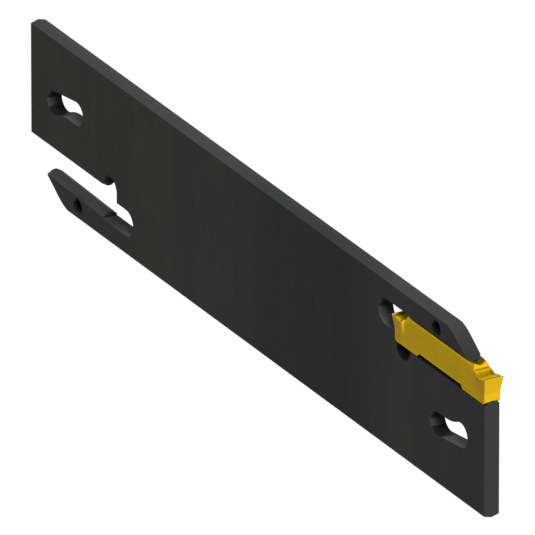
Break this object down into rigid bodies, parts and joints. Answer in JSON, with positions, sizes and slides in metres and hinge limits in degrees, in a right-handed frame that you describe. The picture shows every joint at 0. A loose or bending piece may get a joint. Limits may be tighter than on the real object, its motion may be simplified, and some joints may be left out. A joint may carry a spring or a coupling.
{
  "type": "parting blade",
  "caption": "Reversible flat parting-off and grooving blade with a self-clamping pocket and spring finger at each end, one holding a double-ended coated cutting insert",
  "frame": {"origin": "the blade's centre of symmetry, midway between its ends and its two V edges, on the lower side face, on which the part lies", "axes": "+X runs along the blade towards the end that holds the insert; +Y runs up the blade's height towards the finger that clamps that insert; +Z is the outward normal of the upper side face, through the thickness"},
  "size_m": [0.1255, 0.026, 0.003],
  "materials": {
    "blade": "blackened hardened tool steel, fine satin, with faint streaks from rolling",
    "insert": "carbide with a gold-coloured titanium nitride coating, satin"
  },
  "bodies": {
    "root": {"blade": "blade", "insert": "insert"}
  },
  "joints": []
}
